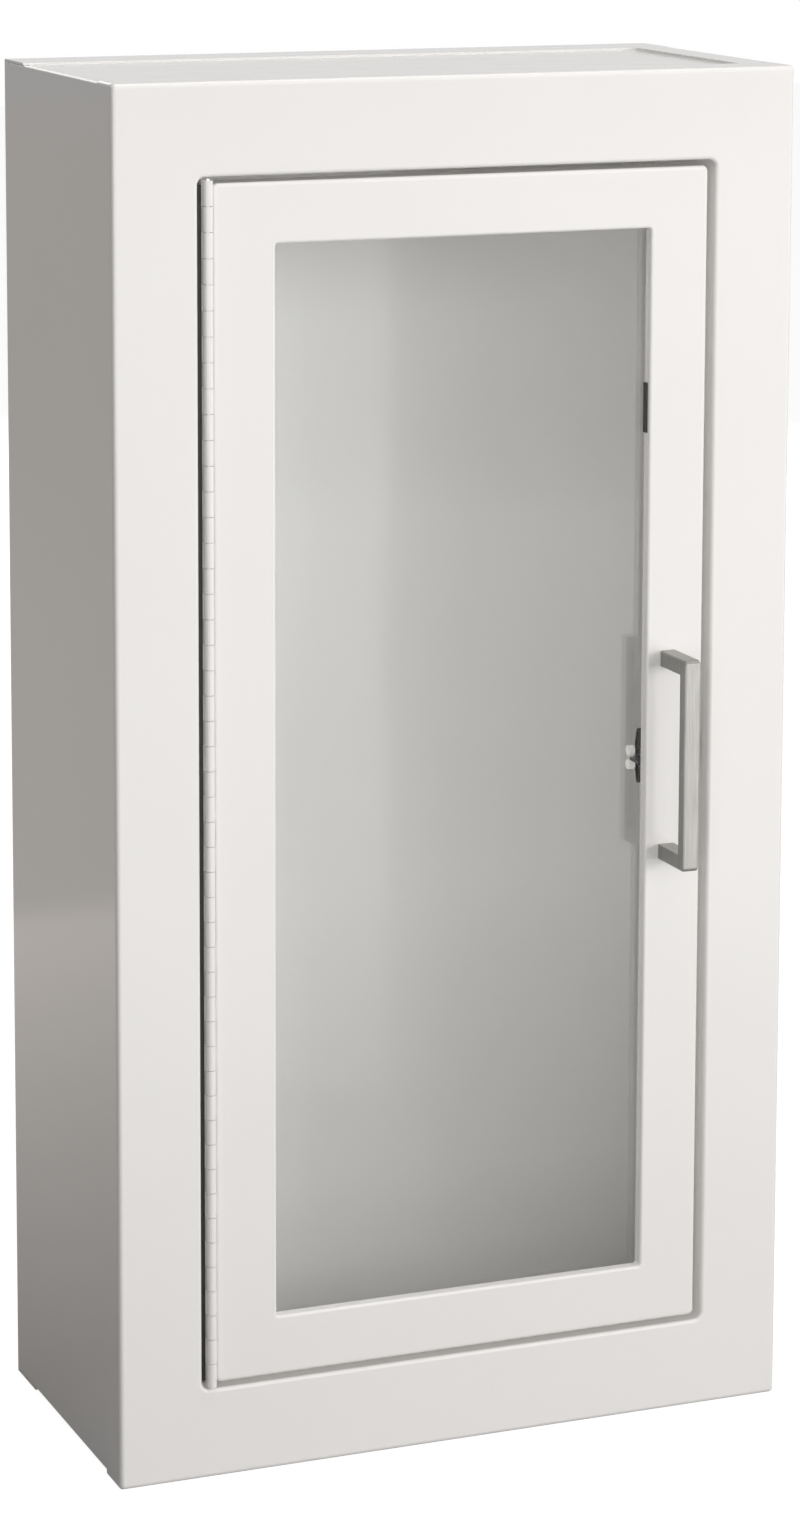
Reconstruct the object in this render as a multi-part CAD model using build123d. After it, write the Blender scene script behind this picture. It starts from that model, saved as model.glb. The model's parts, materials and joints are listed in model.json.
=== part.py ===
from build123d import *
import os

# Wall cabinet for a fire extinguisher: a sheet steel box with a framed front,
# a flush door on a continuous hinge, a clear window and a bar handle.
# Millimetres. X runs to the viewer's right, Y runs back to the wall and Z up.
# The origin is the middle of the back face, on the wall.

os.makedirs("parts", exist_ok=True)

# Box
width = 365.0
height = 705.0
depth = 178.0
sheet = 1.2
side_lap = 21.0
back_lap = 32.0
back_side_flange = 18.0
top_flange = 14.0
lap_gap = 0.5
lap_edge = 0.9
panel_bend = 2.0
box_edge = 1.0
box_front_gap = 0.3
corner_relief = 3.0

# Wall fixing holes
fixing_spacing = 240.0
fixing_below_top = 55.0
fixing_diameter = 7.0

# Front frame
frame_return = 22.0
frame_bend = 2.5
frame_corner = 2.0
border_sides = 43.75
border_ends = 46.5
opening_corner = 4.0
opening_bend = 2.0
jamb_depth = 20.0

# Continuous hinge
knuckle_pitch = 12.7
hinge_end_gap = 1.0
knuckle_sides = 14
bore_sides = 8
knuckle_gap = 0.3
pin_diameter = 2.4
pin_clearance = 0.1
pin_end = 0.6
leaf_sheet = 1.1
leaf_depth = 14.0
packing_set_back = 3.0
slot_beside_barrel = 2.6

# Door
door_depth = 16.0
door_bend = 2.0
door_corner = 3.0
door_gap_latch_side = 4.2
door_gap_ends = 3.0
hinge_stile = 32.5
latch_stile = 31.5
rail = 30.7
window_corner = 1.5
window_return = 6.0
window_bend = 1.5

# Pane and its retainers
pane_thickness = 3.0
pane_overlap = 8.0
retainer_foot = 11.0
retainer_lip = 7.0
retainer_sheet = 1.0
retainer_gap = 1.0
clip_height = 25.5
clip_above_middle = 180.5
clip_thickness = 0.8
clip_set_back = 0.9

# Handle
handle_spacing = 101.6
handle_bar_width = 8.5
handle_bar_depth = 6.5
handle_post_height = 8.0
handle_reach = 30.0
handle_from_window = 12.0
handle_bend = 2.2
handle_edge = 0.6

# Roller catch and its strike
catch_below_middle = 6.5
catch_from_window = 8.9
catch_strip_width = 10.0
catch_strip_sheet = 0.8
catch_height = 30.0
catch_behind_door = 11.0
catch_depth = 5.0
catch_bend = 1.2
eye_width = 1.6
roller_from_window = 2.4
roller_length = 3.2
roller_diameter = 5.2
roller_running_gap = 0.05
roller_pin_diameter = 2.0
roller_pin_end = 0.4
roller_cap = 1.0
strike_sheet = 1.6
strike_clearance = 0.3
strike_past_rollers = 2.8
strike_tip = 1.2
strike_plate_inset = 1.0
strike_root = 3.0
strike_height = 22.0
strike_leg = 11.0
bracket_sheet = 1.5
bracket_height = 14.0
bracket_inset = 4.5

# Places that follow from the sizes above
front_y = -depth
opening_width = width - 2 * border_sides
opening_height = height - 2 * border_ends
box_half_width = width / 2 - sheet
box_half_height = height / 2 - sheet
knuckle_radius = pin_diameter / 2 + pin_clearance + leaf_sheet
hinge_x = -opening_width / 2 + slot_beside_barrel + knuckle_radius
knuckle_count = int((opening_height - 2 * hinge_end_gap) / knuckle_pitch)
hinge_length = knuckle_pitch * knuckle_count
door_left = hinge_x + knuckle_radius
door_right = opening_width / 2 - door_gap_latch_side
door_height = opening_height - 2 * door_gap_ends
window_left = door_left + hinge_stile
window_right = door_right - latch_stile
window_width = window_right - window_left
window_height = door_height - 2 * rail
window_middle = (window_left + window_right) / 2
pane_front = front_y + window_return
pane_back = pane_front + pane_thickness
roller_space = strike_sheet / 2 + strike_clearance + roller_diameter / 2
box_front = front_y + frame_bend + box_front_gap
catch_left = window_right + catch_from_window
catch_front = front_y + door_depth + catch_behind_door
catch_back = catch_front + catch_depth
catch_z = -catch_below_middle
roller_left = window_right + roller_from_window
roller_right = roller_left + roller_length


def slab(left, right, bottom, top, front, back, corner=0.0):
    """A block between six planes, with its four corners rounded as seen from the front."""
    wide = right - left
    tall = top - bottom
    outline = RectangleRounded(wide, tall, corner) if corner else Rectangle(wide, tall)
    solid = extrude(Plane.XZ * outline, amount=front - back)
    return Pos((left + right) / 2, front, (bottom + top) / 2) * solid


def round_front(solid, radius):
    """Rounds every edge of the face that looks to the front."""
    return fillet(solid.faces().sort_by(Axis.Y)[0].edges(), radius)


def formed_pan(left, right, tall, front, deep, corner, bend):
    """A sheet pan with its flat face to the front and returned edges, open at the back."""
    outside = round_front(slab(left, right, -tall / 2, tall / 2, front, front + deep, corner), bend)
    inside = slab(
        left + sheet,
        right - sheet,
        -tall / 2 + sheet,
        tall / 2 - sheet,
        front + sheet,
        front + deep + sheet,
        corner - sheet,
    )
    return outside - round_front(inside, bend - sheet)


def returned_cut(pan, left, right, tall, front, deep, corner, bend):
    """Cuts a window in a pan and turns its edge back by a return of one sheet."""
    collar = slab(
        left - sheet, right + sheet, -tall / 2 - sheet, tall / 2 + sheet, front, front + deep, corner + sheet
    )
    cut = slab(left, right, -tall / 2, tall / 2, front - sheet, front + deep + sheet, corner)
    body = pan + collar - cut
    face = body.faces().filter_by(Axis.Y).sort_by(Axis.Y)[0]
    return fillet(face.inner_wires()[0].edges(), bend)


def make_front_frame():
    """Frame over the mouth of the box: outer returns lap the box and jambs line the opening."""
    pan = formed_pan(-width / 2, width / 2, height, front_y, frame_return, frame_corner, frame_bend)
    half = opening_width / 2
    return returned_cut(pan, -half, half, opening_height, front_y, jamb_depth, opening_corner, opening_bend)


def make_side(hand):
    """Flat side wall, tucked inside the frame's return; hand is -1 on the left and 1 on the right."""
    outer = hand * box_half_width
    inner = hand * (box_half_width - sheet)
    tall = box_half_height
    wall = slab(min(outer, inner), max(outer, inner), -tall, tall, box_front, -sheet)
    corners = wall.edges().filter_by(Axis.Y).sort_by(lambda e: -hand * e.center().X)[:2]
    return fillet(corners, box_edge)


def make_right_side():
    """Right wall with flanges that lap over the top and bottom panels."""
    front = front_y + frame_return + lap_gap
    back = -back_lap - lap_gap
    left = width / 2 - side_lap
    lapped = slab(left, box_half_width, -height / 2, height / 2, front, back)
    bends = lapped.edges().filter_by(Axis.Y).sort_by(Axis.X)[-2:]
    lapped = fillet(bends, panel_bend)
    lapped -= slab(left - 1, box_half_width - sheet, -box_half_height, box_half_height, front - 1, back + 1)
    return make_side(1) + lapped


def make_end_panel(up):
    """Top or bottom panel with a flange turned down inside the left wall; up is 1 or -1."""
    outer = up * box_half_height
    inner = up * (box_half_height - sheet)
    left = -box_half_width + sheet
    right = box_half_width - sheet
    front = box_front
    back = -sheet
    plate = slab(left, right, min(outer, inner), max(outer, inner), front, back)
    tip = outer - up * top_flange
    flange = slab(left, left + sheet, min(outer, tip), max(outer, tip), front, back)
    panel = plate + flange
    bend = panel.edges().filter_by(Axis.Y).sort_by(lambda e: e.center().X - up * e.center().Z)[0]
    return fillet(bend, panel_bend)


def make_back_panel():
    """Back sheet with long top and bottom flanges outside the box and side flanges inside it."""
    inner = box_half_width - sheet
    panel = slab(-box_half_width, box_half_width, -height / 2, height / 2, -sheet, 0)
    for up in (-1, 1):
        low = min(up * box_half_height, up * height / 2)
        flange = slab(-box_half_width, box_half_width, low, low + sheet, -back_lap, 0)
        level = flange.edges().filter_by(Axis.X)
        panel += fillet(level.sort_by(lambda e: e.center().Y - up * e.center().Z)[0], lap_edge)
    for hand in (-1, 1):
        left = min(hand * inner, hand * (inner - sheet))
        reach = box_half_height - top_flange - corner_relief
        panel += slab(left, left + sheet, -reach, reach, -back_side_flange, 0)
    hole = Cylinder(fixing_diameter / 2, 4 * sheet, rotation=(90, 0, 0))
    for hand in (-1, 1):
        panel -= Pos(hand * fixing_spacing / 2, 0, height / 2 - fixing_below_top) * hole
    return panel


def knuckle_run(first):
    """Every second knuckle of the barrel, from the given one, with its bore."""
    bore = RegularPolygon(pin_diameter / 2 + pin_clearance, bore_sides, major_radius=False)
    ring = RegularPolygon(knuckle_radius, knuckle_sides) - bore
    knuckle = extrude(ring, amount=knuckle_pitch - knuckle_gap)
    knuckles = []
    for index in range(first, knuckle_count, 2):
        low = -hinge_length / 2 + index * knuckle_pitch + knuckle_gap / 2
        knuckles.append(Pos(hinge_x, front_y, low) * knuckle)
    return knuckles


def make_leaf(hand, first, tall):
    """Hinge leaf that stands tangent to the barrel and carries its own knuckles."""
    outer = hinge_x + hand * knuckle_radius
    inner = outer - hand * leaf_sheet
    back = front_y + leaf_depth
    leaf = slab(min(outer, inner), max(outer, inner), -tall / 2, tall / 2, front_y, back)
    other = knuckle_radius + knuckle_gap
    for index in range(1 - first, knuckle_count, 2):
        low = -hinge_length / 2 + index * knuckle_pitch - knuckle_gap / 2
        high = low + knuckle_pitch + knuckle_gap
        leaf -= slab(hinge_x - other, hinge_x + other, low, high, front_y - other, front_y + other)
    return leaf + knuckle_run(first)


def make_hinge_frame_leaf():
    """Fixed leaf, on the packing strip beside the jamb."""
    return make_leaf(-1, 0, hinge_length)


def make_hinge_door_leaf():
    """Moving leaf, on the outside of the door's hinge return."""
    return make_leaf(1, 1, door_height)


def make_hinge_pin():
    """Pin through the whole barrel."""
    return Pos(hinge_x, front_y, 0) * Cylinder(pin_diameter / 2, hinge_length + 2 * pin_end)


def make_hinge_packing():
    """Dark strip that fills the slot between the jamb and the fixed leaf."""
    left = -opening_width / 2
    right = hinge_x - knuckle_radius
    front = front_y + packing_set_back
    tall = opening_height / 2 - opening_corner
    return slab(left, right, -tall, tall, front, front_y + leaf_depth)


def make_door_skin():
    """Door pan with its window cut and turned back."""
    pan = formed_pan(door_left, door_right, door_height, front_y, door_depth, door_corner, door_bend)
    return returned_cut(
        pan, window_left, window_right, window_height, front_y, window_return, window_corner, window_bend
    )


def make_window_pane():
    """Clear sheet against the back of the window return."""
    return slab(
        window_left - pane_overlap,
        window_right + pane_overlap,
        -window_height / 2 - pane_overlap,
        window_height / 2 + pane_overlap,
        pane_front,
        pane_back,
    )


def retainer_profile():
    """Z section: foot on the door sheet, web past the pane's edge and lip over its back.

    X runs from the pane's edge away from the window, Y runs back."""
    foot_front = front_y + sheet
    web = retainer_gap
    points = [
        (web + retainer_foot, foot_front),
        (web, foot_front),
        (web, pane_back),
        (web - retainer_lip, pane_back),
        (web - retainer_lip, pane_back + retainer_sheet),
        (web + retainer_sheet, pane_back + retainer_sheet),
        (web + retainer_sheet, foot_front + retainer_sheet),
        (web + retainer_foot, foot_front + retainer_sheet),
    ]
    return make_face(Polyline(points, close=True))


def make_retainer_upright(hand):
    """Retainer along one upright edge of the pane."""
    edge = window_right + pane_overlap if hand > 0 else -window_left + pane_overlap
    length = window_height
    strip = extrude(Pos(edge, 0, -length / 2) * retainer_profile(), amount=length)
    return strip if hand > 0 else mirror(strip, about=Plane.YZ)


def make_retainer_level(up):
    """Retainer along the top or bottom edge of the pane."""
    edge = window_height / 2 + pane_overlap
    length = window_width + 2 * pane_overlap - 2 * retainer_lip
    strip = extrude(Pos(edge, 0, -length / 2) * retainer_profile(), amount=length)
    turned = Pos(window_middle, 0, 0) * Rot(0, -90, 0) * strip
    return turned if up > 0 else mirror(turned, about=Plane.XY)


def make_pane_clip():
    """Dark clip on the latch side return of the window."""
    middle = clip_above_middle
    return slab(
        window_right - clip_thickness,
        window_right,
        middle - clip_height / 2,
        middle + clip_height / 2,
        front_y + window_bend + clip_set_back,
        pane_front,
    )


def make_door_handle():
    """Square bar pull with two posts, one piece."""
    left = window_right + handle_from_window - handle_bar_width / 2
    right = left + handle_bar_width
    tall = (handle_spacing + handle_post_height) / 2
    front = front_y - handle_reach
    body = slab(left, right, -tall, tall, front, front_y)
    gap = handle_spacing / 2 - handle_post_height / 2
    body -= slab(left - 1, right + 1, -gap, gap, front + handle_bar_depth, front_y + 1)
    outer_bends = body.edges().filter_by(Axis.X).group_by(Axis.Y)[0]
    body = fillet(outer_bends, handle_bend)
    rim = body.edges().filter_by(Axis.Z).group_by(Axis.Y)[0]
    return chamfer(rim, handle_edge)


def make_catch_bracket():
    """Angle bracket that carries the catch, fixed to the hidden side of the latch jamb."""
    jamb = opening_width / 2 + sheet
    low = catch_z - bracket_height / 2
    high = catch_z + bracket_height / 2
    back = catch_back + bracket_sheet
    leg = slab(jamb, jamb + bracket_sheet, low, high, front_y + sheet + bracket_sheet, back)
    plate = slab(catch_left + bracket_inset, jamb + bracket_sheet, low, high, catch_back, back)
    return leg + plate


def make_catch_spring():
    """Bowed steel strip with an eye at each end, on its window side, for the pin of a roller."""
    reach = (catch_height - catch_strip_sheet) / 2
    rest = catch_back - catch_strip_sheet / 2
    waist = catch_front + catch_depth / 2
    eye = roller_pin_diameter / 2 + roller_running_gap
    path = FilletPolyline(
        (catch_front, -roller_space - eye - catch_strip_sheet / 2),
        (catch_front, -reach + catch_bend),
        (waist, -reach),
        (rest, -reach / 2),
        (rest, reach / 2),
        (waist, reach),
        (catch_front, reach - catch_bend),
        (catch_front, roller_space + eye + catch_strip_sheet / 2),
        radius=catch_bend,
    )
    strip = extrude(Plane.YZ * trace(path, catch_strip_sheet), amount=catch_strip_width)
    ring = Circle(eye + catch_strip_sheet) - Circle(eye)
    for up in (-1, 1):
        place = Plane(origin=(0, catch_front, up * roller_space), z_dir=(1, 0, 0))
        strip += extrude(place * ring, amount=eye_width)
        strip -= extrude(place * Circle(eye), amount=eye_width)
    return Pos(catch_left, 0, catch_z) * strip


def round_bar(left, right, radius, up):
    """A cylinder across the cabinet on the upper or lower roller's axis."""
    place = Plane(origin=(left, catch_front, catch_z + up * roller_space), z_dir=(1, 0, 0))
    return extrude(place * Circle(radius), amount=right - left)


def make_catch_roller(up):
    """Nylon roller with a blind bore, closed at the window side."""
    bore = roller_pin_diameter / 2 + roller_running_gap
    solid = round_bar(roller_left, roller_right, roller_diameter / 2, up)
    return solid - round_bar(roller_left + roller_cap, roller_right + 1, bore, up)


def make_catch_pin(up):
    """Pin through the strip's eye and into a roller."""
    left = roller_left + roller_cap + roller_running_gap
    right = catch_left + eye_width + roller_pin_end
    return round_bar(left, right, roller_pin_diameter / 2, up)


def make_catch_strike():
    """Strike bracket on the door's latch return, with a tongue that runs in between the rollers."""
    return_face = door_right - sheet
    back = front_y + door_depth
    front = back - strike_sheet
    low = catch_z - strike_height / 2
    high = catch_z + strike_height / 2
    plate_left = catch_left + strike_plate_inset
    leg = slab(return_face - strike_sheet, return_face, low, high, back - strike_leg, back)
    plate = slab(plate_left, return_face, low, high, front, back)
    half = strike_sheet / 2
    tip = catch_front + strike_past_rollers
    root = plate_left + strike_root
    tongue = slab(roller_left, root, catch_z - half, catch_z + half, front, tip)
    corners = tongue.edges().filter_by(Axis.Z).group_by(Axis.Y)[-1]
    return leg + plate + chamfer(corners, strike_tip)


parts = {
    "front_frame": make_front_frame(),
    "left_side": make_side(-1),
    "right_side": make_right_side(),
    "top_panel": make_end_panel(1),
    "bottom_panel": make_end_panel(-1),
    "back_panel": make_back_panel(),
    "hinge_packing_strip": make_hinge_packing(),
    "hinge_frame_leaf": make_hinge_frame_leaf(),
    "hinge_pin": make_hinge_pin(),
    "catch_bracket": make_catch_bracket(),
    "catch_spring": make_catch_spring(),
    "catch_roller_upper": make_catch_roller(1),
    "catch_roller_lower": make_catch_roller(-1),
    "catch_pin_upper": make_catch_pin(1),
    "catch_pin_lower": make_catch_pin(-1),
    "door_skin": make_door_skin(),
    "hinge_door_leaf": make_hinge_door_leaf(),
    "window_pane": make_window_pane(),
    "pane_retainer_left": make_retainer_upright(-1),
    "pane_retainer_right": make_retainer_upright(1),
    "pane_retainer_top": make_retainer_level(1),
    "pane_retainer_bottom": make_retainer_level(-1),
    "pane_clip": make_pane_clip(),
    "door_handle": make_door_handle(),
    "catch_strike": make_catch_strike(),
}

for name, shape in parts.items():
    export_step(shape, f"parts/{name}.step")
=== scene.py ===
import json
import math

import bmesh
import bpy
from mathutils import Matrix, Vector


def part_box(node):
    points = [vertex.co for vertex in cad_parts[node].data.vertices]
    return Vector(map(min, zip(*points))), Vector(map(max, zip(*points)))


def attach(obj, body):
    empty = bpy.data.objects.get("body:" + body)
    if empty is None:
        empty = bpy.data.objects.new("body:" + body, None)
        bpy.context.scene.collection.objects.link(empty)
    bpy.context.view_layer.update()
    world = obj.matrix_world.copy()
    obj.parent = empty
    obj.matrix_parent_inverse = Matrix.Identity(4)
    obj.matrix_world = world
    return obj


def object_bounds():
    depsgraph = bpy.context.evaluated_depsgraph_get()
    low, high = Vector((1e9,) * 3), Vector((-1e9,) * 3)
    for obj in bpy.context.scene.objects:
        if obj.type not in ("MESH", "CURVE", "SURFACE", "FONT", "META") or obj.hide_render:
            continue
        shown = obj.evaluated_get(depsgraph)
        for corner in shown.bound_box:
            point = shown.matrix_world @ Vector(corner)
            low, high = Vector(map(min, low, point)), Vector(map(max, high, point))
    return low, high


# Looks for a white wall cabinet for a fire extinguisher. Metres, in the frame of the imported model:
# X runs to the viewer's right, Y runs back to the wall, Z up, origin in the middle of the back.

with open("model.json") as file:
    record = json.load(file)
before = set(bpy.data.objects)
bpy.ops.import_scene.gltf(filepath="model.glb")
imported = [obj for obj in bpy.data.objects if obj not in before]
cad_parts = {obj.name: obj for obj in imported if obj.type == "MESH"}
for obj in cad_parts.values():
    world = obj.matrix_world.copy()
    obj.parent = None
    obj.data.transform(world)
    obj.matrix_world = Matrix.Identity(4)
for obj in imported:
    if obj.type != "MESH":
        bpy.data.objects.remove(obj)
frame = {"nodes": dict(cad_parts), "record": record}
cad_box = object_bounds()
nodes = frame["nodes"]
MM = 0.001

# Camera, fitted to fifteen corners of the cabinet in the photograph
CAMERA_PLACE = Vector((-0.8366, -2.1671, 0.5124))
CAMERA_YAW = math.radians(21.99)
CAMERA_PITCH = math.radians(8.54)
CAMERA_ROLL = math.radians(0.17)
CAMERA_SENSOR = 36
CAMERA_LENS = 103.2
CAMERA_SHIFT = -0.236

# Studio. The floor is white to the camera, less what its shadow takes
FLOOR_REACH = 8.0
FLOOR_LIFT = 0.93
FLOOR_COLOUR = (0.25, 0.248, 0.246, 1)
LAMP_COLOUR = (1, 0.985, 0.975)
LAMP_AIM = (0.0, -0.1, 0.0)
BACKDROP_COLOUR = (1, 1, 1, 1)
AMBIENT_COLOUR = (0.10, 0.095, 0.09, 1)

# What glossy surfaces see of the sky, and of the floor: it brightens from the cabinet's back to an
# edge behind it, is dimmer and even past that edge, and brightens again out in front
MIRRORED_SKY = 0.76
MIRRORED_EDGE = 0.876
MIRRORED_EDGE_WIDTH = 0.02
# The dim floor near the cabinet's back is painted shade: the cabinet's shadow on the floor, as glossy
# surfaces see it
MIRRORED_NEAR_PAINTED_SHADE = 0.27
MIRRORED_BACK = 1.16
MIRRORED_FAR = 0.8
MIRRORED_FRONT = 1.75
MIRRORED_FRONT_START = 0.2
MIRRORED_FRONT_END = 1.2
MIRRORED_FLOOR_COLOUR = (1.08, 1.0, 0.94, 1)

# Light paths: the white inside of the box needs more diffuse bounces than usual
DIFFUSE_BOUNCES = 10
ALL_BOUNCES = 16

# Noise seldom leaves this range
NOISE_RANGE = (0.3, 0.7)

# Powder coat
ENAMEL_IOR = 1.5
ENAMEL_LIGHT = (0.86, 0.852, 0.842, 1)
ENAMEL_SHADE = (0.845, 0.836, 0.824, 1)
ENAMEL_TONE_PATCH = 0.16
ENAMEL_GLOSS_PATCH = 0.03
ENAMEL_ROUGHNESS = (0.10, 0.14)
PEEL_SIZE = 0.0016
PEEL_DEPTH = 0.00004
PEEL_STRENGTH = 0.15

# Metals
GRAIN_DEPTH = 0.00002
GRAIN_STRENGTH = 0.3
METAL_SMOOTHER = 0.05
METAL_ROUGHER = 0.06
WEAR_EDGE = 0.5 * MM
WORN_PATCH = 0.002
WORN_ROUGHNESS = (0.3, 0.42)

# Plastics
PLASTIC_IOR = 1.5
PLASTIC_TONE_PATCH = 0.006
PLASTIC_GLOSS_PATCH = 0.002
PLASTIC_GLOSS_SPREAD = 0.05
PLASTIC_GRAIN = 0.0006
PLASTIC_GRAIN_DEPTH = 0.00002
PLASTIC_GRAIN_STRENGTH = 0.4

# Clear sheet
CLEAR_TINT = (0.985, 0.99, 0.987, 1)
CLEAR_PATCH = 0.05
CLEAR_ROUGHNESS = (0.02, 0.05)
CLEAR_GLOSS_HEAD_ON = 0.04
CLEAR_GLOSS_POWER = 5.0

# Heads of screws and rivets. The pan's profile holds pairs of shares of its radius and height
HEAD_SIDES = 24
PAN_PROFILE = [(0, 0), (1, 0), (1, 0.35), (0.93, 0.68), (0.72, 0.92), (0.4, 1), (0, 1)]
DOME_STEPS = 6
RECESS_REACH = 0.55
RECESS_DEPTH = 0.55
RECESS_WIDTH = 0.2
RECESS_TAPER = 0.55
SMOOTH_ANGLE = math.radians(35)

# Places of screws and rivets, in millimetres. The hinge has as many rivets up as down
HANDLE_SPACING = 101.6
RETAINER_SHEET = 1.0
SCREW_FROM_RETAINER_EDGE = 5.0
UPRIGHT_SCREW_LEVELS = (-225, -110, 0, 110, 225)
LEVEL_SCREW_PLACES = (-60, 2, 64)
DOOR_SHEET = 1.2
HINGE_RIVET_SET_BACK = 9.0
HINGE_RIVET_PITCH = 57
HINGE_RIVETS_EACH_WAY = 5
STRIKE_SHEET = 1.6
STRIKE_RIVET_SET_BACK = 4.5
STRIKE_RIVET_FROM_MIDDLE = 6.5
CATCH_STRIP_SHEET = 0.8


# Small helpers for materials

def new_material(name):
    """A material with an empty node tree, and the tree."""
    material = bpy.data.materials.new(name)
    material.use_nodes = True
    material.node_tree.nodes.clear()
    return material, material.node_tree


def add(tree, kind, settings=None, **values):
    """A node with its settings and the values of its inputs, which are named with underscores."""
    node = tree.nodes.new(kind)
    for key, value in (settings or {}).items():
        setattr(node, key, value)
    for key, value in values.items():
        node.inputs[key.replace("_", " ")].default_value = value
    return node


def link(tree, source, target):
    """Links an output of one node to an input of another."""
    tree.links.new(source, target)


def place(tree, stretch=(1, 1, 1)):
    """Coordinates of the object in metres, stretched along some axes."""
    coordinates = add(tree, "ShaderNodeTexCoord")
    mapping = add(tree, "ShaderNodeMapping", Scale=stretch)
    link(tree, coordinates.outputs["Object"], mapping.inputs["Vector"])
    return mapping.outputs["Vector"]


def depth_place(tree):
    """The Y coordinate of the object in metres."""
    axes = add(tree, "ShaderNodeSeparateXYZ")
    link(tree, place(tree), axes.inputs[0])
    return axes.outputs["Y"]


def noise(tree, vector, size, detail=2.0):
    """Noise whose patches are about the given size in metres."""
    texture = add(tree, "ShaderNodeTexNoise", Scale=1 / size, Detail=detail)
    link(tree, vector, texture.inputs["Vector"])
    return texture.outputs["Fac"]


def ramp(tree, value, start, end, low=0.0, high=1.0):
    """A value that goes from low to high while another goes from start to end, and stays there."""
    ramped = add(tree, "ShaderNodeMapRange", From_Min=start, From_Max=end, To_Min=low, To_Max=high)
    link(tree, value, ramped.inputs["Value"])
    return ramped.outputs["Result"]


def spread(tree, value, low, high):
    """Noise spread between two numbers."""
    return ramp(tree, value, *NOISE_RANGE, low, high)


def calculate(tree, operation, *terms):
    """The result of a Math node, whose terms are numbers or outputs of other nodes."""
    node = add(tree, "ShaderNodeMath", {"operation": operation})
    for number, term in enumerate(terms):
        if isinstance(term, (int, float)):
            node.inputs[number].default_value = term
        else:
            link(tree, term, node.inputs[number])
    return node.outputs[0]


def blend_colours(tree, value, first, second):
    """A colour between two, by a value. The node has its colours at inputs 6 and 7 and output 2."""
    mix = add(tree, "ShaderNodeMix", {"data_type": "RGBA"})
    mix.inputs[6].default_value = first
    mix.inputs[7].default_value = second
    link(tree, value, mix.inputs[0])
    return mix.outputs[2]


def bump(tree, height, depth, strength):
    """A bump of the given depth in metres."""
    node = add(tree, "ShaderNodeBump", Strength=strength, Distance=depth)
    link(tree, height, node.inputs["Height"])
    return node.outputs["Normal"]


def finish_surface(tree, shader):
    """Makes a shader the surface of its material."""
    output = add(tree, "ShaderNodeOutputMaterial")
    link(tree, shader.outputs[0], output.inputs["Surface"])


# Materials

def make_enamel():
    """White powder coat: satin, with a fine orange peel and hardly any change of tone."""
    material, tree = new_material("white_powder_coat")
    vector = place(tree)
    paint = add(tree, "ShaderNodeBsdfPrincipled", IOR=ENAMEL_IOR)
    tone = spread(tree, noise(tree, vector, ENAMEL_TONE_PATCH, detail=3.0), 0.0, 1.0)
    link(tree, blend_colours(tree, tone, ENAMEL_LIGHT, ENAMEL_SHADE), paint.inputs["Base Color"])
    gloss = spread(tree, noise(tree, vector, ENAMEL_GLOSS_PATCH), *ENAMEL_ROUGHNESS)
    link(tree, gloss, paint.inputs["Roughness"])
    peel = noise(tree, vector, PEEL_SIZE, detail=1.0)
    link(tree, bump(tree, peel, PEEL_DEPTH, PEEL_STRENGTH), paint.inputs["Normal"])
    finish_surface(tree, paint)
    return material


def make_metal(name, light, dark, roughness, grain, stretch):
    """Metal with a fine grain that runs along one axis."""
    material, tree = new_material(name)
    metal = add(tree, "ShaderNodeBsdfPrincipled", Metallic=1.0)
    streaks = noise(tree, place(tree, stretch), grain, detail=4.0)
    tone = spread(tree, streaks, 0.0, 1.0)
    link(tree, blend_colours(tree, tone, light, dark), metal.inputs["Base Color"])
    gloss = spread(tree, streaks, roughness - METAL_SMOOTHER, roughness + METAL_ROUGHER)
    link(tree, gloss, metal.inputs["Roughness"])
    link(tree, bump(tree, streaks, GRAIN_DEPTH, GRAIN_STRENGTH), metal.inputs["Normal"])
    finish_surface(tree, metal)
    return material


def make_worn_steel(name, blued, bright, line):
    """Blued steel, worn bright behind a line across Y, where the rollers press."""
    material, tree = new_material(name)
    worn = ramp(tree, depth_place(tree), line - WEAR_EDGE, line + WEAR_EDGE)
    metal = add(tree, "ShaderNodeBsdfPrincipled", Metallic=1.0)
    link(tree, blend_colours(tree, worn, blued, bright), metal.inputs["Base Color"])
    gloss = spread(tree, noise(tree, place(tree), WORN_PATCH), *WORN_ROUGHNESS)
    link(tree, gloss, metal.inputs["Roughness"])
    finish_surface(tree, metal)
    return material


def make_plastic(name, light, dark, roughness, painted_glow=0.0):
    """Moulded plastic with a fine matte grain. The glow is painted light: an emission that brightens
    the plastic where it sits in shade.
    """
    material, tree = new_material(name)
    vector = place(tree)
    # The emission is painted light, not a lamp
    plastic = add(tree, "ShaderNodeBsdfPrincipled", IOR=PLASTIC_IOR,
                  Emission_Color=light, Emission_Strength=painted_glow)
    tone = spread(tree, noise(tree, vector, PLASTIC_TONE_PATCH, detail=3.0), 0.0, 1.0)
    link(tree, blend_colours(tree, tone, light, dark), plastic.inputs["Base Color"])
    patches = noise(tree, vector, PLASTIC_GLOSS_PATCH)
    gloss = spread(tree, patches, roughness - PLASTIC_GLOSS_SPREAD, roughness + PLASTIC_GLOSS_SPREAD)
    link(tree, gloss, plastic.inputs["Roughness"])
    grain = noise(tree, vector, PLASTIC_GRAIN)
    link(tree, bump(tree, grain, PLASTIC_GRAIN_DEPTH, PLASTIC_GRAIN_STRENGTH), plastic.inputs["Normal"])
    finish_surface(tree, plastic)
    return material


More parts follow.
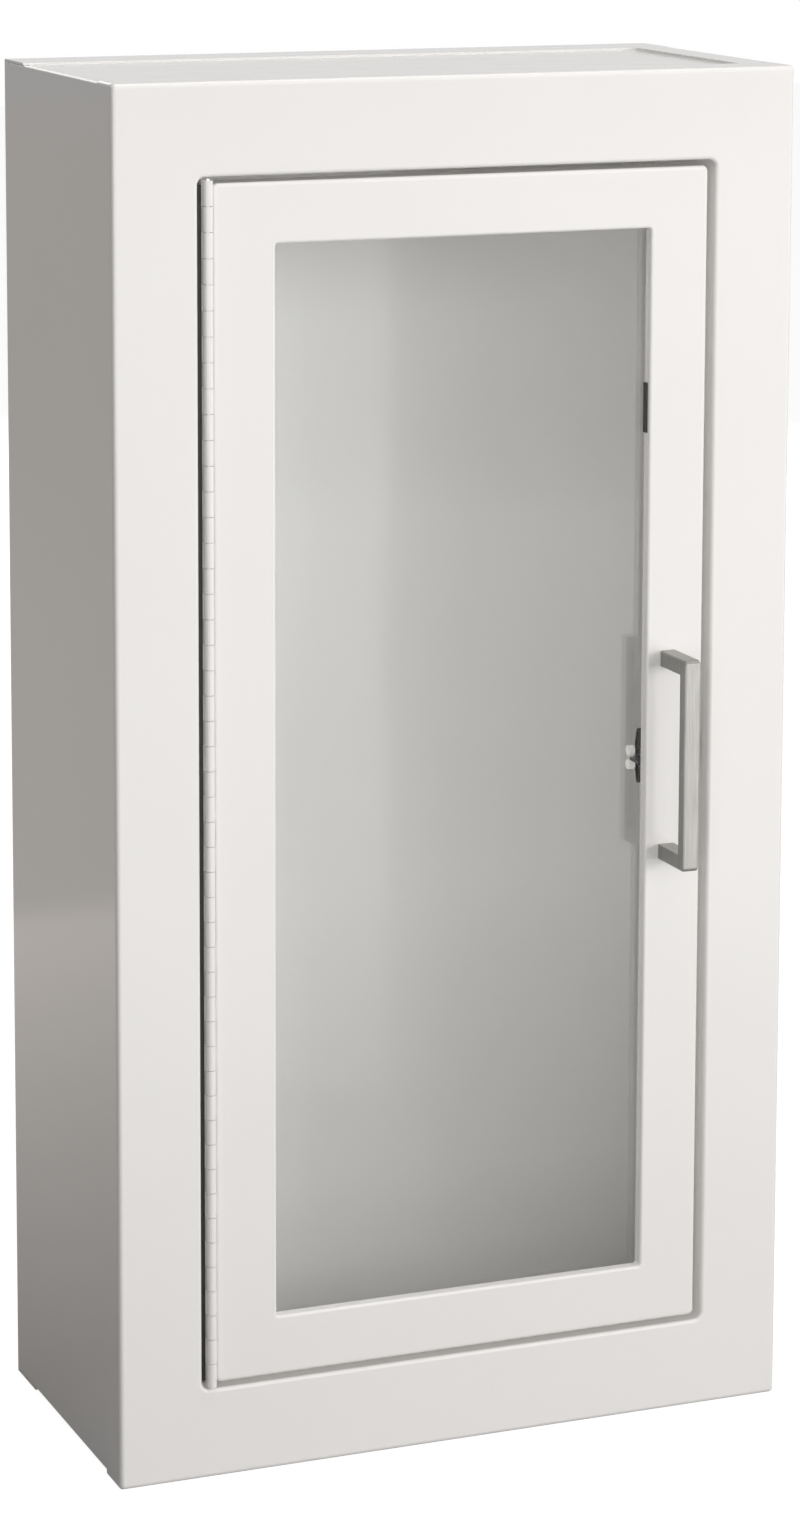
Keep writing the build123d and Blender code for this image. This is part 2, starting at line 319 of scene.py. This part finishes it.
def make_clear_sheet():
    """Clear acrylic: what is behind it shows, and its gloss grows towards grazing angles."""
    material, tree = new_material("clear_acrylic")
    clear = add(tree, "ShaderNodeBsdfTransparent", Color=CLEAR_TINT)
    gloss = add(tree, "ShaderNodeBsdfGlossy", Color=(1, 1, 1, 1))
    roughness = spread(tree, noise(tree, place(tree), CLEAR_PATCH), *CLEAR_ROUGHNESS)
    link(tree, roughness, gloss.inputs["Roughness"])
    facing_away = add(tree, "ShaderNodeLayerWeight").outputs["Facing"]
    grazing = calculate(tree, "POWER", facing_away, CLEAR_GLOSS_POWER)
    mix = add(tree, "ShaderNodeMixShader")
    link(tree, ramp(tree, grazing, 0.0, 1.0, CLEAR_GLOSS_HEAD_ON, 1.0), mix.inputs[0])
    link(tree, clear.outputs[0], mix.inputs[1])
    link(tree, gloss.outputs[0], mix.inputs[2])
    finish_surface(tree, mix)
    return material


# The finish of each slot
FINISHES = {
    "white_enamel": make_enamel(),
    "bright_steel": make_metal(
        "zinc_plate", light=(0.8, 0.8, 0.785, 1), dark=(0.72, 0.725, 0.73, 1),
        roughness=0.32, grain=0.002, stretch=(1, 1, 0.2),
    ),
    "dark_spring_steel": make_metal(
        "blued_spring_steel", light=(0.13, 0.125, 0.12, 1), dark=(0.09, 0.088, 0.09, 1),
        roughness=0.36, grain=0.002, stretch=(0.2, 1, 1),
    ),
    "satin_nickel": make_metal(
        "satin_nickel", light=(0.35, 0.345, 0.33, 1), dark=(0.29, 0.285, 0.27, 1),
        roughness=0.34, grain=0.0008, stretch=(1, 1, 0.03),
    ),
    # The nylon rollers glow with painted light, which keeps them bright in the shade of the door's
    # stile
    "white_nylon": make_plastic(
        "white_nylon", light=(0.9, 0.9, 0.88, 1), dark=(0.86, 0.86, 0.84, 1),
        roughness=0.45, painted_glow=0.27,
    ),
    # The packing strip in the hinge's slot takes this near-black finish. There it is a dark strip set
    # where the slot has shade: painted shade
    "black_plastic": make_plastic(
        "black_moulding_and_painted_slot_shade", light=(0.022, 0.022, 0.022, 1), dark=(0.014, 0.014, 0.014, 1),
        roughness=0.55,
    ),
    "clear_pane": make_clear_sheet(),
}

# Nodes whose finish differs from the plain one of their slot
SPECIAL_FINISHES = {
    "catch_strike": make_worn_steel(
        "worn_strike_steel", blued=(0.11, 0.105, 0.10, 1), bright=(0.8, 0.8, 0.78, 1),
        line=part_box("catch_roller_upper")[0].y,
    ),
}


def dress_cad_nodes():
    """Gives each CAD node its special finish, or the one of its slot in the record."""
    for part in frame["record"]["subparts"]:
        materials = nodes[part["node"]].data.materials
        materials.clear()
        materials.append(SPECIAL_FINISHES.get(part["node"], FINISHES[part["material_slot"]]))


# Small fasteners

def lathe(mesh, profile, spot, turn):
    """Adds a turned shape to a mesh. Its profile holds pairs of radius and height."""
    rings = []
    for radius, height in profile:
        if radius == 0:
            rings.append([mesh.verts.new(spot + turn @ Vector((0, 0, height)))])
            continue
        ring = []
        for step in range(HEAD_SIDES):
            angle = 2 * math.pi * step / HEAD_SIDES
            corner = Vector((radius * math.cos(angle), radius * math.sin(angle), height))
            ring.append(mesh.verts.new(spot + turn @ corner))
        rings.append(ring)
    for low, high in zip(rings, rings[1:]):
        for step in range(HEAD_SIDES):
            following = (step + 1) % HEAD_SIDES
            corners = [low[step % len(low)], low[following % len(low)],
                       high[following % len(high)], high[step % len(high)]]
            mesh.faces.new(list(dict.fromkeys(corners)))


def cross_recess(mesh, radius, depth, width, spot, turn):
    """Adds a cross slot that narrows downwards, as a closed prism to be cut from a head."""
    half = width / 2
    outline = [
        (half, half), (radius, half), (radius, -half),
        (half, -half), (half, -radius), (-half, -radius),
        (-half, -half), (-radius, -half), (-radius, half),
        (-half, half), (-half, radius), (half, radius),
    ]
    low = []
    high = []
    for x, y in outline:
        low.append(mesh.verts.new(spot + turn @ Vector((x * RECESS_TAPER, y * RECESS_TAPER, -depth))))
    for x, y in outline:
        high.append(mesh.verts.new(spot + turn @ Vector((x, y, depth))))
    mesh.faces.new(low)
    mesh.faces.new(list(reversed(high)))
    for step in range(len(outline)):
        following = (step + 1) % len(outline)
        mesh.faces.new([low[step], high[step], high[following], low[following]])


def to_object(name, mesh):
    """Turns a mesh in the making into an object of the scene."""
    bmesh.ops.recalc_face_normals(mesh, faces=mesh.faces)
    data = bpy.data.meshes.new(name)
    mesh.to_mesh(data)
    mesh.free()
    made = bpy.data.objects.new(name, data)
    bpy.context.scene.collection.objects.link(made)
    return made


def cut_away(piece, cutter):
    """Cuts one object from another in its mesh, and removes the cutter."""
    cut = piece.modifiers.new("recess", "BOOLEAN")
    cut.operation = "DIFFERENCE"
    cut.solver = "EXACT"
    cut.object = cutter
    bpy.context.view_layer.update()
    evaluated = piece.evaluated_get(bpy.context.evaluated_depsgraph_get())
    result = bpy.data.meshes.new_from_object(evaluated)
    piece.modifiers.clear()
    piece.data = result
    bpy.data.objects.remove(cutter)


def facing(direction):
    """Rotation that turns the Z axis to a direction."""
    return Vector((0, 0, 1)).rotation_difference(Vector(direction)).to_matrix()


def fasten(piece, body, slot="bright_steel"):
    """Gives a fastener the body that it rides and the finish of its slot, and smooths its faces."""
    piece.data.materials.clear()
    piece.data.materials.append(FINISHES[slot])
    for face in piece.data.polygons:
        face.use_smooth = True
    piece.data.set_sharp_from_angle(angle=SMOOTH_ANGLE)
    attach(piece, body)


def pan_heads(name, spots, radius, height, body):
    """Cross-recessed pan heads that sit on a surface at the given spots and face back."""
    turn = facing((0, 1, 0))
    heads = bmesh.new()
    recesses = bmesh.new()
    profile = [(radius * out, height * up) for out, up in PAN_PROFILE]
    for spot in spots:
        lathe(heads, profile, Vector(spot), turn)
        top = Vector(spot) + turn @ Vector((0, 0, height))
        cross_recess(recesses, radius * RECESS_REACH, height * RECESS_DEPTH, radius * RECESS_WIDTH,
                     top, turn)
    piece = to_object(name, heads)
    cut_away(piece, to_object(name + "_cutter", recesses))
    fasten(piece, body)


def dome_heads(name, spots, direction, radius, height, body):
    """Domed rivet heads at the given spots."""
    turn = facing(direction)
    heads = bmesh.new()
    profile = [(0, 0)]
    for step in range(DOME_STEPS):
        angle = math.pi / 2 * step / DOME_STEPS
        profile.append((radius * math.cos(angle), height * math.sin(angle)))
    profile.append((0, height))
    for spot in spots:
        lathe(heads, profile, Vector(spot), turn)
    fasten(to_object(name, heads), body)


def make_door_screws():
    """Screws of the handle and of the pane's retainers, on the back of the retainers' feet."""
    handle_low, handle_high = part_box("door_handle")
    right_low, right_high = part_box("pane_retainer_right")
    left_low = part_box("pane_retainer_left")[0]
    top_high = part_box("pane_retainer_top")[1]
    foot_back = right_low.y + RETAINER_SHEET * MM

    handle_x = (handle_low.x + handle_high.x) / 2
    posts = [(handle_x, foot_back, side * HANDLE_SPACING / 2 * MM) for side in (-1, 1)]
    pan_heads("handle_screws", posts, radius=3.6 * MM, height=2.2 * MM, body="door")

    left_x = left_low.x + SCREW_FROM_RETAINER_EDGE * MM
    right_x = right_high.x - SCREW_FROM_RETAINER_EDGE * MM
    level_z = top_high.z - SCREW_FROM_RETAINER_EDGE * MM
    uprights = [(x, foot_back, z * MM) for x in (left_x, right_x) for z in UPRIGHT_SCREW_LEVELS]
    levels = [(x * MM, foot_back, side * level_z) for x in LEVEL_SCREW_PLACES for side in (-1, 1)]
    pan_heads("retainer_screws", uprights + levels, radius=3.0 * MM, height=1.9 * MM, body="door")


def make_hinge_rivets():
    """Rivets that hold the hinge's leaf to the door's return."""
    skin_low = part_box("door_skin")[0]
    inside_left = skin_low.x + DOOR_SHEET * MM
    rivet_y = skin_low.y + HINGE_RIVET_SET_BACK * MM
    levels = range(-HINGE_RIVETS_EACH_WAY, HINGE_RIVETS_EACH_WAY + 1)
    rivets = [(inside_left, rivet_y, HINGE_RIVET_PITCH * level * MM) for level in levels]
    dome_heads("hinge_rivets_door", rivets, (1, 0, 0), radius=2.6 * MM, height=1.1 * MM, body="door")


def make_catch_rivets():
    """Rivets of the strike on the door, and the one of the catch's strip in the cabinet."""
    strike_low, strike_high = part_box("catch_strike")
    strike_x = strike_high.x - STRIKE_SHEET * MM
    strike_y = strike_low.y + STRIKE_RIVET_SET_BACK * MM
    strike_z = (strike_low.z + strike_high.z) / 2
    rivets = [(strike_x, strike_y, strike_z + side * STRIKE_RIVET_FROM_MIDDLE * MM) for side in (-1, 1)]
    dome_heads("strike_rivets", rivets, (-1, 0, 0), radius=2.2 * MM, height=1.0 * MM, body="door")

    strip_low, strip_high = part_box("catch_spring")
    strip_x = (strip_low.x + strip_high.x) / 2
    strip_z = (strip_low.z + strip_high.z) / 2
    seat = strip_high.y - CATCH_STRIP_SHEET * MM
    dome_heads("catch_rivet", [(strip_x, seat, strip_z)], (0, -1, 0),
               radius=2.0 * MM, height=0.9 * MM, body="cabinet")


# Studio: floor, background, lights and camera

def seen_rays(tree, mirrored):
    """1 for rays that see the background directly or through glass, and a share for mirrored ones."""
    path = add(tree, "ShaderNodeLightPath")
    dimmed = calculate(tree, "MULTIPLY", path.outputs["Is Glossy Ray"], mirrored)
    clear = calculate(tree, "MAXIMUM",
                      path.outputs["Is Camera Ray"], path.outputs["Is Transmission Ray"])
    return calculate(tree, "MAXIMUM", clear, dimmed)


def mirrored_floor(tree, back):
    """How bright glossy surfaces see the floor, by how far back it is. Its dim part near the cabinet is
    painted shade: the cabinet's shadow on the floor, as glossy surfaces show it.
    """
    painted_shade_rising = ramp(tree, back, 0.0, MIRRORED_EDGE, MIRRORED_NEAR_PAINTED_SHADE, MIRRORED_BACK)
    falling = ramp(tree, back, MIRRORED_EDGE, MIRRORED_EDGE + MIRRORED_EDGE_WIDTH,
                   1.0, MIRRORED_FAR / MIRRORED_BACK)
    frontal = ramp(tree, back, -MIRRORED_FRONT_START, -MIRRORED_FRONT_END, 0.0, MIRRORED_FRONT)
    return calculate(tree, "MULTIPLY_ADD", painted_shade_rising, falling, frontal)


def mirrored_tint(tree, back):
    """White, but warm where glossy surfaces see the floor behind the cabinet's front."""
    glossy = add(tree, "ShaderNodeLightPath").outputs["Is Glossy Ray"]
    behind = ramp(tree, back, -MIRRORED_FRONT_START, 0.0)
    warm = calculate(tree, "MULTIPLY", behind, glossy)
    return blend_colours(tree, warm, BACKDROP_COLOUR, MIRRORED_FLOOR_COLOUR)


def make_floor():
    """Pale floor that keeps the shadow, and shines by itself where it is seen."""
    mesh = bmesh.new()
    corners = [(-FLOOR_REACH, -FLOOR_REACH), (FLOOR_REACH, -FLOOR_REACH),
               (FLOOR_REACH, FLOOR_REACH), (-FLOOR_REACH, FLOOR_REACH)]
    mesh.faces.new([mesh.verts.new((x, y, cad_box[0].z)) for x, y in corners])
    floor = to_object("studio_floor", mesh)
    material, tree = new_material("studio_floor")
    back = depth_place(tree)
    strength = calculate(tree, "MULTIPLY", seen_rays(tree, mirrored_floor(tree, back)), FLOOR_LIFT)
    matte = add(tree, "ShaderNodeBsdfDiffuse", Color=FLOOR_COLOUR)
    lift = add(tree, "ShaderNodeEmission")
    link(tree, mirrored_tint(tree, back), lift.inputs["Color"])
    link(tree, strength, lift.inputs["Strength"])
    both = add(tree, "ShaderNodeAddShader")
    link(tree, matte.outputs[0], both.inputs[0])
    link(tree, lift.outputs[0], both.inputs[1])
    finish_surface(tree, both)
    floor.data.materials.append(material)


def make_world():
    """White background where it is seen, and a plain warm grey light for everything else."""
    world = bpy.data.worlds.new("studio")
    bpy.context.scene.world = world
    world.use_nodes = True
    tree = world.node_tree
    tree.nodes.clear()
    background = add(tree, "ShaderNodeBackground")
    colour = blend_colours(tree, seen_rays(tree, MIRRORED_SKY), AMBIENT_COLOUR, BACKDROP_COLOUR)
    link(tree, colour, background.inputs["Color"])
    output = add(tree, "ShaderNodeOutputWorld")
    link(tree, background.outputs[0], output.inputs["Surface"])


def area_light(name, spot, width, height, power, aim=LAMP_AIM, mirrored=False):
    """A soft box at a spot that faces an aim, seen or not seen in glossy surfaces."""
    data = bpy.data.lights.new(name, "AREA")
    data.shape = "RECTANGLE"
    data.size = width
    data.size_y = height
    data.energy = power
    data.color = LAMP_COLOUR
    lamp = bpy.data.objects.new(name, data)
    lamp.location = spot
    lamp.rotation_mode = "QUATERNION"
    lamp.rotation_quaternion = (Vector(aim) - Vector(spot)).to_track_quat("-Z", "Y")
    lamp.visible_glossy = mirrored
    bpy.context.scene.collection.objects.link(lamp)


def make_lights():
    """Soft boxes. Glossy surfaces see four of them, and else mirror the floor."""
    area_light("key_soft_box", spot=(0.6, -2.6, 0.75), aim=(0.0, -0.1, 0.1),
               width=2.6, height=0.8, power=17.5, mirrored=True)
    area_light("right_soft_box", spot=(2.2, -2.4, 0.3), width=1.2, height=1.5, power=40.5)
    area_light("front_right_soft_box", spot=(1.2, -2.8, 0.25), width=1.2, height=1.0, power=10)
    area_light("fill_soft_box", spot=(-1.4, -2.8, 0.5),
               width=1.6, height=1.6, power=17.5, mirrored=True)
    area_light("overhead_soft_box", spot=(0.3, -0.5, 1.9), aim=(0.0, -0.1, 0.2),
               width=1.3, height=1.0, power=10.5, mirrored=True)
    area_light("top_left_soft_box", spot=(-0.6, -0.3, 1.9), aim=(0.0, -0.1, 0.35),
               width=1.0, height=1.0, power=5)
    area_light("edge_soft_box", spot=(-0.2, 2.4, 1.3), aim=(0.0, 0.0, 0.0),
               width=1.0, height=1.0, power=5.5, mirrored=True)
    area_light("rear_soft_box", spot=(1.3, 2.9, 0.5), aim=(0.0, 0.0, 0.0),
               width=1.6, height=1.0, power=32)


def make_camera():
    """The photograph's camera, turned by its yaw, pitch and roll."""
    data = bpy.data.cameras.new("camera")
    data.sensor_width = CAMERA_SENSOR
    data.lens = CAMERA_LENS
    data.shift_y = CAMERA_SHIFT
    camera = bpy.data.objects.new("camera", data)
    turn = (
        Matrix.Rotation(-CAMERA_YAW, 4, "Z")
        @ Matrix.Rotation(math.pi / 2 - CAMERA_PITCH, 4, "X")
        @ Matrix.Rotation(CAMERA_ROLL, 4, "Z")
    )
    camera.matrix_world = Matrix.Translation(CAMERA_PLACE) @ turn
    bpy.context.scene.collection.objects.link(camera)
    bpy.context.scene.camera = camera


dress_cad_nodes()
make_door_screws()
make_hinge_rivets()
make_catch_rivets()
make_floor()
make_world()
make_lights()
make_camera()
bpy.context.scene.view_settings.view_transform = "Standard"
bpy.context.scene.cycles.diffuse_bounces = DIFFUSE_BOUNCES
bpy.context.scene.cycles.max_bounces = ALL_BOUNCES
